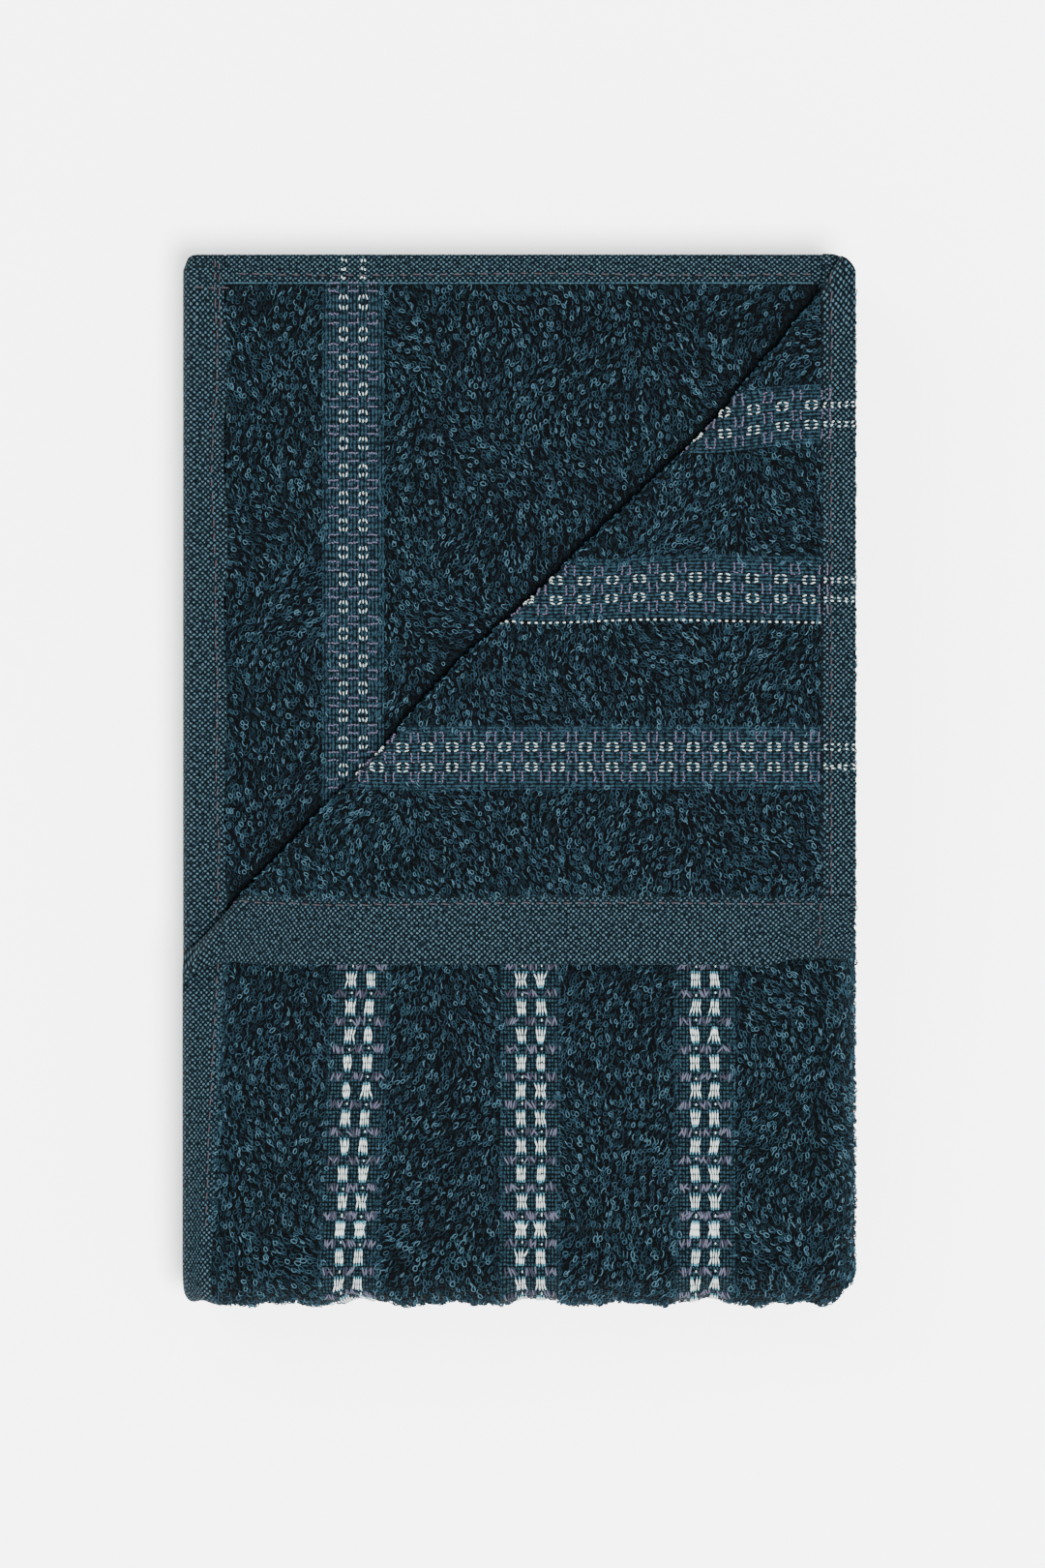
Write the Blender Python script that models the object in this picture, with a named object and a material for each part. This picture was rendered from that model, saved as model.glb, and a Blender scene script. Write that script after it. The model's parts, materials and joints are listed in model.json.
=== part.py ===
"""A terry towel folded to a flat pack, with one corner of its top layer turned back.

The cloth is 0.5 m wide and 1 m long. It is folded end to end, then into thirds, and then in half
across its width, so twelve layers lie on each other: six in the lower half and six in the upper.
In each half, layer 1 lies outermost and layer 6 innermost. Layer 1 ends in end hem A, layer 2 in
end hem B, and both hems turn over the pack's left side. Every other edge of a layer is a fold or
a side hem. The free corner of the top layer is turned back over a crease at 45 degrees.

Units are metres. +X is the pack's right, +Y points away from the half fold, +Z is up, and the
pack lies on z = 0 with its box centred on x = 0 and y = 0.
"""

import math

import bmesh
import bpy
from mathutils import Matrix, Vector

# Overall size of the pack
PACK_WIDTH = 0.160
PACK_DEPTH = 0.249

# Cloth
CLOTH_THICKNESS = 0.0025  # ground weave with the pile on both of its faces
LAYER_GAP = 0.0005  # air between two layers
PIECE_GAP = 0.0003  # between neighbouring pieces of one layer

# Folds
HALF_FOLD_ROUNDING = 0.010  # outer radius of the half fold's upper and lower corner
HALF_FOLD_SLACK = 0.0002  # how much deeper the innermost turn is than its radius

# Hems
END_HEM_VISIBLE = 0.01035  # the part of an end hem that lies flat on the pack
END_HEM_TURNED = 0.0062  # the part that turns over the pack's left side
END_HEM_TURN_RADIUS = 0.0022
SIDE_HEM_WIDTH = 0.008
HEM_THICKNESS = 0.0016
THREAD_WIDTH = 0.0006
THREAD_HEIGHT = 0.0004
END_STITCH_INSET = 0.0026  # from the hem's inner edge to its line of stitches
SIDE_STITCH_INSET = 0.0018

# Turned back corner
TOP_LAYER_INSET = 0.003  # from the pack's far edge back to the top layer's side edge
FLAP_OVERHANG = 0.0045  # how far the end hem passes the pack's left side once unfolded

ARC_STEPS = 8
SMALLEST_FACET = 0.00008

# Worked out from the sizes above
LAYERS = 6
PITCH = CLOTH_THICKNESS + LAYER_GAP
MIDDLE = LAYERS * PITCH - LAYER_GAP / 2
LEFT, RIGHT = -PACK_WIDTH / 2, PACK_WIDTH / 2
NEAR, FAR = -PACK_DEPTH / 2, PACK_DEPTH / 2
TIGHTEST_ROUNDING = CLOTH_THICKNESS + LAYER_GAP / 2
HALF_FOLD_DEPTH = (LAYERS - 1) * PITCH + TIGHTEST_ROUNDING + HALF_FOLD_SLACK
PANEL_START = NEAR + HALF_FOLD_DEPTH
RIGHT_TURN = RIGHT - (2.5 * PITCH + CLOTH_THICKNESS / 2)
HEM_STACK = 2 * (HEM_THICKNESS + PIECE_GAP)
LEFT_TURN = LEFT + HEM_STACK + 1.5 * PITCH + CLOTH_THICKNESS / 2
HEM_INNER = LEFT + END_HEM_VISIBLE
HEM_SUNK = PIECE_GAP + THREAD_HEIGHT
END_HEM_WIDTH = END_HEM_VISIBLE + END_HEM_TURNED
CREASE_RISE = FAR - TOP_LAYER_INSET - RIGHT
FLAP_END = CREASE_RISE + LEFT - FLAP_OVERHANG
FLAP_HEIGHT = LAYERS * PITCH + LAYER_GAP / 2
UPPER, LOWER = 1, -1


def material(name, colour, roughness):
    """A plain cloth or thread material."""
    found = bpy.data.materials.new(name)
    found.use_nodes = True
    shader = found.node_tree.nodes["Principled BSDF"]
    shader.inputs["Base Color"].default_value = (*colour, 1.0)
    shader.inputs["Roughness"].default_value = roughness
    shader.inputs["Metallic"].default_value = 0.0
    return found


def centre_height(layer):
    """Height of a layer's middle above or below the plane between the two halves."""
    return (LAYERS + 0.5 - layer) * PITCH


def outer_height(layer):
    return centre_height(layer) + CLOTH_THICKNESS / 2


def inner_height(layer):
    return centre_height(layer) - CLOTH_THICKNESS / 2


def crease_at(x):
    """Where the crease passes a place x, less half the gap between the flap and its layer."""
    return x + CREASE_RISE - PIECE_GAP


def sweep(name, outline, along, surface, axis):
    """One closed solid: a flat outline of points, moved along a vector, hung on a joint's axis."""
    bm = bmesh.new()
    face = bm.faces.new([bm.verts.new(point) for point in outline])
    moved = bmesh.ops.extrude_face_region(bm, geom=[face])["geom"]
    bmesh.ops.translate(bm, verts=[v for v in moved if isinstance(v, bmesh.types.BMVert)], vec=along)
    bmesh.ops.recalc_face_normals(bm, faces=bm.faces)
    mesh = bpy.data.meshes.new(name)
    bm.to_mesh(mesh)
    bm.free()
    mesh.shade_smooth()
    mesh.set_sharp_from_angle(angle=math.radians(30))
    mesh.materials.append(surface)
    piece = bpy.data.objects.new(name, mesh)
    bpy.context.scene.collection.objects.link(piece)
    if axis:
        piece.parent = axis
        piece.matrix_parent_inverse = axis_matrices[axis.name].inverted()
    return piece


def flat(name, outline, low, high, half, surface, axis):
    """A flat piece between two heights, measured from the plane between the halves."""
    points = [Vector((x, y, MIDDLE + half * low)) for x, y in outline]
    return sweep(name, points, Vector((0, 0, half * (high - low))), surface, axis)


def across(name, profile, start, end, half, surface, axis):
    """A piece with one profile of y and height, running in X."""
    points = [Vector((start, y, MIDDLE + half * height)) for y, height in profile]
    return sweep(name, points, Vector((end - start, 0, 0)), surface, axis)


def lengthwise(name, profile, start, end, half, surface, axis):
    """A piece with one profile of x and height, running in Y."""
    points = [Vector((x, start, MIDDLE + half * height)) for x, height in profile]
    return sweep(name, points, Vector((0, end - start, 0)), surface, axis)


def arc(middle, radius, start, end, steps=ARC_STEPS):
    """Points on an arc, from one angle to another in degrees, in fewer steps if it is tiny."""
    steps = max(1, min(steps, int(radius / SMALLEST_FACET)))
    angles = [math.radians(start + (end - start) * i / steps) for i in range(steps + 1)]
    return [(middle[0] + radius * math.cos(a), middle[1] + radius * math.sin(a)) for a in angles]


def box_outline(x0, x1, y0, y1):
    return [(x0, y0), (x1, y0), (x1, y1), (x0, y1)]


def turn_profile(middle, radius, facing):
    """A half ring of cloth about a middle, open to the pack and bulging to +X or -X."""
    start, end = (-90, 90) if facing > 0 else (270, 90)
    outer = arc(middle, radius + CLOTH_THICKNESS / 2, start, end, 2 * ARC_STEPS)
    inner = arc(middle, radius - CLOTH_THICKNESS / 2, end, start, 2 * ARC_STEPS)
    return outer + inner


def half_fold_profile(layer):
    """A layer's turn from the upper half into the lower half."""
    top = outer_height(layer)
    wall = NEAR + (layer - 1) * PITCH
    rounding = max(HALF_FOLD_ROUNDING - (layer - 1) * PITCH, TIGHTEST_ROUNDING)
    turn = wall + rounding
    corner = top - rounding
    inside = rounding - CLOTH_THICKNESS
    outer = arc((turn, corner), rounding, 90, 180) + arc((turn, -corner), rounding, 180, 270)
    inner = arc((turn, -corner), inside, 270, 180) + arc((turn, corner), inside, 180, 90)
    if corner < PIECE_GAP:
        outer = arc((turn, 0), rounding, 90, 270, 2 * ARC_STEPS)
        inner = arc((turn, 0), inside, 270, 90, 2 * ARC_STEPS)
    seam = PANEL_START - PIECE_GAP
    flat_top = [(seam, top)] if turn < seam else []
    flat_low = [(seam, -top), (seam, CLOTH_THICKNESS - top)] if turn < seam else []
    flat_end = [(seam, top - CLOTH_THICKNESS)] if turn < seam else []
    return flat_top + outer + flat_low + inner + flat_end


def panel_outline(layer, half):
    """The flat stretch of a layer between its folds and hems."""
    x0 = HEM_INNER + PIECE_GAP if layer < 3 else LEFT_TURN + PIECE_GAP
    x1 = RIGHT_TURN - PIECE_GAP
    if layer == 1 and half == UPPER:
        return [(x0, PANEL_START), (x1, PANEL_START), (x1, crease_at(x1)), (x0, crease_at(x0))]
    end = FAR - SIDE_HEM_WIDTH - PIECE_GAP if layer == 2 and half == UPPER else FAR
    return box_outline(x0, x1, PANEL_START, end)


def end_hem_profile(layer):
    """An end hem lying flat, then turning over the pack's left side."""
    left = LEFT + (layer - 1) * (HEM_THICKNESS + PIECE_GAP)
    top = outer_height(layer) - HEM_SUNK
    turn = (left + END_HEM_TURN_RADIUS, top - END_HEM_TURN_RADIUS)
    outer = arc(turn, END_HEM_TURN_RADIUS, 90, 180)
    inner = arc(turn, END_HEM_TURN_RADIUS - HEM_THICKNESS, 180, 90)
    low = top - END_HEM_TURNED
    return (
        [(HEM_INNER, top)] + outer + [(left, low), (left + HEM_THICKNESS, low)]
        + inner + [(HEM_INNER, top - HEM_THICKNESS)]
    )


def build_half(half, name, axis):
    """Panels, side folds and end hems of one half of the pack."""
    for layer in range(1, LAYERS + 1):
        low, high = inner_height(layer), outer_height(layer)
        flat(f"{name}_panel_{layer}", panel_outline(layer, half), low, high, half, terry, axis)
    for turn in (1, 2, 3):
        profile = turn_profile((RIGHT_TURN, 3 * PITCH), (3.5 - turn) * PITCH, 1)
        end = crease_at(RIGHT_TURN) if turn == 1 and half == UPPER else FAR
        lengthwise(f"{name}_right_fold_{turn}", profile, PANEL_START, end, half, terry, axis)
    for turn in (1, 2):
        profile = turn_profile((LEFT_TURN, 2 * PITCH), (2.5 - turn) * PITCH, -1)
        lengthwise(f"{name}_left_fold_{turn}", profile, PANEL_START, FAR, half, terry, axis)
    for layer, hem in ((1, "a"), (2, "b")):
        end = crease_at(LEFT) if layer == 1 and half == UPPER else FAR
        profile = end_hem_profile(layer)
        lengthwise(f"{name}_end_hem_{hem}", profile, PANEL_START, end, half, plain_weave, axis)


def build_half_folds():
    """The turns of all six layers from the upper half into the lower half, one inside another."""
    for layer in range(1, LAYERS + 1):
        start = LEFT if layer == 1 else LEFT + HEM_STACK
        end = RIGHT - (layer - 1) * PITCH
        across(f"half_fold_{layer}", half_fold_profile(layer), start, end, UPPER, terry, None)


def thread(name, outline, hem_top, axis):
    """A line of stitches, just above the hem that it closes."""
    low = hem_top + PIECE_GAP
    return flat(name, outline, low, low + THREAD_HEIGHT, UPPER, sewing_thread, axis)


def build_upper_hems(axis):
    """The far side hem of layer 2, and the stitches that show on the upper half's hems."""
    top = outer_height(2) - HEM_SUNK
    x0, x1 = HEM_INNER + PIECE_GAP, RIGHT_TURN - PIECE_GAP
    hem = box_outline(x0, x1, FAR - SIDE_HEM_WIDTH, FAR)
    flat("upper_side_hem_b", hem, top - HEM_THICKNESS, top, UPPER, plain_weave, axis)
    y0 = FAR - SIDE_HEM_WIDTH + SIDE_STITCH_INSET
    thread("upper_side_hem_b_thread", box_outline(x0, x1, y0, y0 + THREAD_WIDTH), top, axis)
    x1 = HEM_INNER - END_STITCH_INSET
    for hem, layer, end in (("a", 1, crease_at(LEFT)), ("b", 2, FAR)):
        line = box_outline(x1 - THREAD_WIDTH, x1, PANEL_START, end)
        thread(f"upper_end_hem_{hem}_thread", line, outer_height(layer) - HEM_SUNK, axis)


def build_flap(axis):
    """The turned back corner of the top layer, with its two hems and their crossing."""
    low = FLAP_HEIGHT
    high = low + CLOTH_THICKNESS
    hem_top = high - HEM_SUNK
    hem_low = hem_top - HEM_THICKNESS
    end_inner = FLAP_END + END_HEM_WIDTH
    side_inner = RIGHT - SIDE_HEM_WIDTH
    y0 = end_inner + PIECE_GAP
    x1 = side_inner - PIECE_GAP

    panel = [(y0 - CREASE_RISE + PIECE_GAP, y0), (x1, y0), (x1, crease_at(x1))]
    flat("flap_panel", panel, low, high, UPPER, terry, axis)
    end_hem = [
        (LEFT, FLAP_END), (x1, FLAP_END), (x1, end_inner),
        (end_inner - CREASE_RISE + PIECE_GAP, end_inner), (LEFT, crease_at(LEFT)),
    ]
    flat("flap_end_hem", end_hem, hem_low, hem_top, UPPER, plain_weave, axis)
    side_hem = [
        (side_inner, y0), (RIGHT, y0), (RIGHT, crease_at(RIGHT)), (side_inner, crease_at(side_inner)),
    ]
    flat("flap_side_hem", side_hem, hem_low, hem_top, UPPER, plain_weave, axis)
    corner = box_outline(side_inner, RIGHT, FLAP_END, end_inner)
    flat("flap_hem_corner", corner, hem_low, hem_top, UPPER, plain_weave, axis)

    stitch = end_inner - END_STITCH_INSET
    end_line = box_outline(stitch - CREASE_RISE + PIECE_GAP, x1, stitch - THREAD_WIDTH, stitch)
    thread("flap_end_hem_thread", end_line, hem_top, axis)
    stitch = side_inner + SIDE_STITCH_INSET
    side_line = box_outline(stitch, stitch + THREAD_WIDTH, y0, crease_at(stitch))
    thread("flap_side_hem_thread", side_line, hem_top, axis)


def joint_axis(name, matrix, parent):
    """An empty on a joint's axis, which carries the pieces that move with it."""
    axis = bpy.data.objects.new(name, None)
    bpy.context.scene.collection.objects.link(axis)
    axis.empty_display_size = 0.02
    axis_matrices[name] = matrix
    if parent:
        axis.parent = parent
        axis.matrix_parent_inverse = axis_matrices[parent.name].inverted()
    axis.matrix_basis = matrix
    return axis


for old in list(bpy.data.objects):
    bpy.data.objects.remove(old, do_unlink=True)

axis_matrices = {}
terry = material("terry", (0.018, 0.060, 0.082), 0.95)
plain_weave = material("plain_weave", (0.030, 0.075, 0.095), 0.85)
sewing_thread = material("sewing_thread", (0.075, 0.065, 0.090), 0.7)

half_place = Matrix.Translation((0, PANEL_START - PIECE_GAP, MIDDLE))
half_axis = joint_axis("half_open_axis", half_place, None)
crease_place = Matrix.Translation((0, CREASE_RISE, MIDDLE + LAYERS * PITCH)) @ Matrix.Rotation(
    math.radians(45), 4, "Z"
)
crease_axis = joint_axis("corner_fold_axis", crease_place, half_axis)

build_half(LOWER, "lower", None)
build_half(UPPER, "upper", half_axis)
build_half_folds()
build_upper_hems(half_axis)
build_flap(crease_axis)
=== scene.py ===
"""The look of a folded terry towel: one sheet of cloth, its hems, stitches, woven dots and pile.

Every piece is placed through the cloth's own coordinates. s runs along the towel's length, from the
inner edge of end hem A, and b across its width, from where the upper half's flat stretch starts. b is
negative round the half fold and on the lower half. A chart takes two such coordinates and off, how far
a point stands out from the middle of the cloth, and gives its place. Lengths are in millimetres until
a mesh is made.
"""

import json
import math

import bmesh
import bpy
import numpy as np
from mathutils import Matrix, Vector


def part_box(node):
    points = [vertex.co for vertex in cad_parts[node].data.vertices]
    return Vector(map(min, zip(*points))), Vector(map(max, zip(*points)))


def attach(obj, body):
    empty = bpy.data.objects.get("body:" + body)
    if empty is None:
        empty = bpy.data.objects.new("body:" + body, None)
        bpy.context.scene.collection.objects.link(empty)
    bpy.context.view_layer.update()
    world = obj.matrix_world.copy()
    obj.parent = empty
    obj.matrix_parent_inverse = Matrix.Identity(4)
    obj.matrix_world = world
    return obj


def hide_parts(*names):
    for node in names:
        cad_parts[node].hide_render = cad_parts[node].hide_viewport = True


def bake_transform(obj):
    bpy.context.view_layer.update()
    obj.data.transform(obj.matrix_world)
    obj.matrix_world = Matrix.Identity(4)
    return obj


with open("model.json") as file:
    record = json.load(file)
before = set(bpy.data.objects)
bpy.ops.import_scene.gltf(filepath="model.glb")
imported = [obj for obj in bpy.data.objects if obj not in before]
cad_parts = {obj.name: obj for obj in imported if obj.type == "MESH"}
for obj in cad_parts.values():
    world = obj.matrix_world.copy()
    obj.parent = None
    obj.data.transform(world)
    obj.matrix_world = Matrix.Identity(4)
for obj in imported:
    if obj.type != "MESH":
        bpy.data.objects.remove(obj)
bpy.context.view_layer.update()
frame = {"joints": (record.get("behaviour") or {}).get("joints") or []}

MM = 1000.0
joints = {joint["name"]: joint for joint in frame["joints"]}


def node(name):
    """A CAD node's lowest and highest corner."""
    low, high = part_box(name)
    return np.array(low) * MM, np.array(high) * MM


# ---------------------------------------------------------------- sizes from the frame
LEFT, NEAR = node("half_fold_1")[0][:2]
RIGHT = node("half_fold_1")[1][0]
FAR = node("upper_panel_3")[1][1]
START = node("upper_panel_1")[0][1]
MIDDLE = (node("lower_panel_6")[1][2] + node("upper_panel_6")[0][2]) / 2
HEM_INNER = node("upper_end_hem_a")[1][0]
LAYER = {n: sum(p[2] for p in node(f"upper_panel_{n}")) / 2 - MIDDLE for n in range(1, 7)}
RIGHT_TURN = node("upper_right_fold_1")[0][0]
LEFT_TURN = node("upper_left_fold_1")[1][0]
HALF_CLOTH = (node("upper_panel_1")[1][2] - node("upper_panel_1")[0][2]) / 2
SIDE_HEM = FAR - node("upper_side_hem_b")[0][1]
FLAP_LOW = sum(p[2] for p in node("flap_panel")) / 2
TOP = MIDDLE + LAYER[1]

GROUND = 0.9  # thickness of the woven ground under the pile
HEM = 1.5  # thickness of a hem
BAND_HALF = 7.3  # half of a band's width
PILE_EDGE = 6.9  # where the pile begins beside a band
BANDS = (-37.2, 3.0, 44.3)  # middles of the three bands at hem A's end
BAND_B = -39.3  # middle of the band at hem B's end, on layer 2
DOT_PITCH = 6.6  # from row to row of the dots on the front
OUT_RIGHT, OUT_FAR = 0.9, 0.8  # how far the cloth stands past the CAD's right and far side

rng = np.random.default_rng(7)


# ---------------------------------------------------------------- the cloth's path
def make_path():
    """Stretches of the towel's length in a section: a name and (kind, length, x, h, size, turn).

    A run's size is its way along x. A ring's is its radius, and its turn is (start angle, sense).
    """
    wide = RIGHT_TURN - LEFT_TURN
    short = RIGHT_TURN - HEM_INNER
    up, down = math.pi / 2, -math.pi / 2

    def run(x, h, way, length):
        return ("run", length, x, h, way, 0.0)

    def ring(x, h, radius, start, sense):
        return ("ring", math.pi * radius, x, h, radius, (start, sense))

    def between(a, b):
        return (LAYER[a] + LAYER[b]) / 2, abs(LAYER[a] - LAYER[b]) / 2

    parts = [("L1", run(HEM_INNER, LAYER[1], 1, short))]
    h, r = between(1, 6)
    parts += [("R1", ring(RIGHT_TURN, h, r, up, -1)), ("L6", run(RIGHT_TURN, LAYER[6], -1, wide))]
    h, r = between(6, 3)
    parts += [("T1", ring(LEFT_TURN, h, r, down, -1)), ("L3", run(LEFT_TURN, LAYER[3], 1, wide))]
    h, r = between(3, 4)
    parts += [("R3", ring(RIGHT_TURN, h, r, up, -1)), ("L4", run(RIGHT_TURN, LAYER[4], -1, wide))]
    h, r = between(4, 5)
    parts += [("T2", ring(LEFT_TURN, h, r, up, 1)), ("L5", run(LEFT_TURN, LAYER[5], 1, wide))]
    h, r = between(5, 2)
    parts += [("R2", ring(RIGHT_TURN, h, r, down, 1)), ("L2", run(RIGHT_TURN, LAYER[2], -1, short))]
    return parts


PATH = make_path()
STARTS = np.concatenate([[0.0], np.cumsum([part[1][1] for part in PATH])])
AT = {part[0]: (STARTS[i], STARTS[i + 1]) for i, part in enumerate(PATH)}
HEM_FLAT = HEM_INNER - LEFT  # an end hem's part that lies flat, out to the pack's side
HEM_DROP = 6.2  # its part that turns over the side
HEM_ROUND = 2.8  # the radius it turns with


def section(s):
    """x, h and the front face's direction at s, on the towel's section."""
    s = np.asarray(s, float)
    x, h, nx, nh = (np.zeros_like(s) for _ in range(4))
    index = np.clip(np.searchsorted(STARTS, s, side="right") - 1, 0, len(PATH) - 1)
    for i, (_, (kind, length, px, ph, size, turn)) in enumerate(PATH):
        on = index == i
        t = s[on] - STARTS[i]
        if kind == "run":
            x[on], h[on], nx[on], nh[on] = px + size * t, ph, 0.0, size
        else:
            angle = turn[0] + turn[1] * t / size
            x[on], h[on] = px + size * np.cos(angle), ph + size * np.sin(angle)
            nx[on], nh[on] = -turn[1] * np.cos(angle), -turn[1] * np.sin(angle)
    return x, h, nx, nh


def hem_section(t, level, inset):
    """An end hem's section: t runs from its inner edge out over the pack's side and down."""
    t = np.asarray(t, float)
    left = LEFT + HEM / 2 + inset
    flat = HEM_INNER - (left + HEM_ROUND)
    bend = HEM_ROUND * math.pi / 2
    angle = np.clip((t - flat) / HEM_ROUND, 0, math.pi / 2)
    x = HEM_INNER - np.minimum(t, flat) - HEM_ROUND * np.sin(angle)
    h = level - HEM_ROUND * (1 - np.cos(angle)) - np.maximum(t - flat - bend, 0)
    return x, h, -np.sin(angle), np.cos(angle)


# The outermost layer's way round the half fold: a flat run, a rounding, and down to the middle
OUTER = LAYER[1]
HALF_FOLD_ROUNDING = 10.0
TIGHTEST = 1.5  # radius of the innermost rounding
WALL = NEAR + HALF_CLOTH
CORNER = HALF_FOLD_ROUNDING - HALF_CLOTH
U_FLAT = START - (WALL + CORNER)
U_ARC = CORNER * math.pi / 2
U_HALF = U_FLAT + U_ARC + OUTER - CORNER
B_LOWER = -2 * U_HALF  # b where the lower half's flat stretch starts


def sweep(h, b):
    """y, height and outward direction for a point h above the middle, at b round the half fold."""
    h, b = np.broadcast_arrays(np.asarray(h, float), np.asarray(b, float))
    lower = b < -U_HALF
    t = np.where(lower, B_LOWER - b, b)
    depth = OUTER - h
    radius = np.maximum(CORNER - depth, np.minimum(h, TIGHTEST))
    turn = WALL + depth + radius
    back = np.maximum(-t, 0)
    along = np.minimum(back / U_FLAT, 1)
    angle = np.clip((back - U_FLAT) / U_ARC, 0, 1) * math.pi / 2
    down = np.clip((back - U_FLAT - U_ARC) / (OUTER - CORNER), 0, 1)
    y = np.where(t >= 0, START + t, START - along * (START - turn)) - radius * np.sin(angle)
    z = (h - radius) * (1 - down) + radius * np.cos(angle)
    ey, ez = -np.sin(angle), np.cos(angle)
    sign = np.where(lower, -1.0, 1.0)
    return y, sign * z, ey, sign * ez


def smooth(value, low, high):
    """0 up to low, 1 from high, and a smooth rise between them."""
    t = np.clip((value - low) / (high - low), 0, 1)
    return t * t * (3 - 2 * t)


LEAN = 3.4  # how far the top layer's left part drifts left, from the flap's end to the half fold
DIP = 1.1  # how far a band, thinner than the pile, lies back in the half fold's outline
BULGE = 0.9  # how far the pile between the bands stands forward there
HEM_SHIFT = 1.7  # how far the far side hem's inner edge has moved out, and its outer edge less
HEM_SHRINK = 0.9
PACK_ROUNDINGS = ((1, -1, 5.5), (-1, 1, 3.5), (1, 1, 7.0))  # a corner's side, its end and its radius


def settle(p):
    """Where the cloth really lies: small drifts of the top layer, and rounded corners."""
    x, y, z = p[..., 0], p[..., 1], p[..., 2]
    top = smooth(z, TOP - 10, TOP - 1)
    lean = LEAN * np.clip((-44 - y) / 76, 0, 1.1) * smooth(x, LEFT, LEFT + 9) * (1 - smooth(x, -30, 2))
    dip = DIP * sum(np.exp(-(((x - band) / 6.0) ** 2)) for band in BANDS)
    near = 1 - smooth(y, NEAR, NEAR + 9)
    upper = smooth(z, MIDDLE - 4, MIDDLE + 8)
    y = y + near * (dip - BULGE + 0.5 * np.sin(x * 0.31) + 0.3 * np.sin(x * 0.83 + 1)) * upper
    x = x - lean * top + OUT_RIGHT * smooth(x, RIGHT - 12, RIGHT)
    y = y + HEM_SHIFT * smooth(y, FAR - 20, FAR - SIDE_HEM) - HEM_SHRINK * smooth(y, FAR - SIDE_HEM, FAR)
    for side, end, size in PACK_ROUNDINGS:
        cx = RIGHT + OUT_RIGHT - size if side > 0 else LEFT + size
        cy = NEAR + size if end < 0 else FAR + OUT_FAR - size
        u = np.clip((x - cx) * side / size, 0, 1.2)
        v = np.clip((y - cy) * end / size, 0, 1.2)
        shrink = 1 / np.sqrt(1 + np.minimum(u, v) ** 2 / np.maximum(np.maximum(u, v), 1e-6) ** 2)
        both = np.minimum(u, v) > 0
        x = np.where(both, cx + side * u * size * shrink, x)
        y = np.where(both, cy + end * v * size * shrink, y)
    return np.stack([x, y, z], -1)


def place(x, h, nx, nh, b, off):
    """A point of a section, swept to b and moved off along the front face's direction."""
    h0 = np.clip(h, 0.2, OUTER)
    y, z, ey, ez = sweep(h0, b)
    rise = h - h0 + nh * off
    return settle(np.stack(np.broadcast_arrays(x + nx * off, y + ey * rise, MIDDLE + z + ez * rise), -1))


def cloth(s, b, off):
    """The towel between its end hems."""
    return place(*section(s), b, off)


def hem_a(t, b, off):
    return place(*hem_section(t, LAYER[1], 0.0), b, off)


def hem_b(t, b, off):
    """End hem B, of layer 2; its inner edge waves a little between the stitches."""
    t, b = np.broadcast_arrays(np.asarray(t, float), np.asarray(b, float))
    y = np.where(b > 0, START + b, -200)  # all that is on the lower half counts as near
    inset = 1.9 * (1 - smooth(y, -60, -44))
    t = t + 0.45 * np.sin(b / 7.0 + 0.8 * np.sin(b / 3.1)) * (1 - smooth(t, 0.5, 5))
    return place(*hem_section(t, LAYER[2], inset), b, off)


# ---------------------------------------------------------------- the turned back corner
CREASE_MEAN = 43.2  # y - x of the line that the corner is mirrored about
ROLL = 2.2  # radius of the crease's bend
ROOT = math.sqrt(2)
CREASE_IN = CREASE_MEAN - math.pi * ROLL / 2 * ROOT  # y - x where the bend starts
CREASE_LEAD = 3.0  # y - x from where the corner's sheet starts to there
FOLDED_OVER = math.pi * ROLL * 0.9  # past the start of the bend, where the front has turned down
FLAP_HEM_Y, FLAP_END_Y = -27.1, -43.4  # the end hem's inner and outer edge, as the corner lies
SIDE_EDGE = RIGHT + CREASE_MEAN  # y of the top layer's side edge, laid flat
END_EDGE = FLAP_END_Y - CREASE_MEAN  # x of the top layer's end edge, laid flat
FLAP_OUT = 0.4  # how far the corner stands past the CAD's right side
TIP_ROUNDING, END_ROUNDING = 6.5, 2.6  # radii of its far and near right corner
HANG = 0.9  # how steeply the cloth past the pack's sides hangs down
# Along the crease, how far the rolled edge lies back from a straight line
ALONG = np.array([-120, -88, -61, -21, 6, 35, 91, 115, 127, 140, 160], float)
BACK = np.array([4.2, 3.8, 2.4, 1.6, 0.1, 1.3, 2.4, 0.6, -0.8, -4.2, -6.5])


def crease_back(q):
    """BACK at q along the crease."""
    i = np.clip(np.searchsorted(ALONG, q) - 1, 0, len(ALONG) - 2)
    return BACK[i] + (BACK[i + 1] - BACK[i]) * smooth((q - ALONG[i]) / (ALONG[i + 1] - ALONG[i]), 0, 1)


def from_crease(x, y):
    """How far a place, laid flat, is past the start of the crease's bend."""
    return (y - x - CREASE_IN) / ROOT


def past_crease(x, y):
    """How far a place lies outside the crease's edge, seen from above."""
    return from_crease(x, y) - ROLL + crease_back((x + y) / ROOT)


def held_in(x, y, cx, cy, way, size):
    """How far places are past a rounding's middle when held to its radius, and by how much they were out."""
    u, v = np.maximum(x - cx, 0), np.maximum((y - cy) * way, 0)
    reach = np.hypot(u, v)
    held = size / np.maximum(reach, size)
    return u * held, v * held, np.maximum(reach - size, 0)


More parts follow.
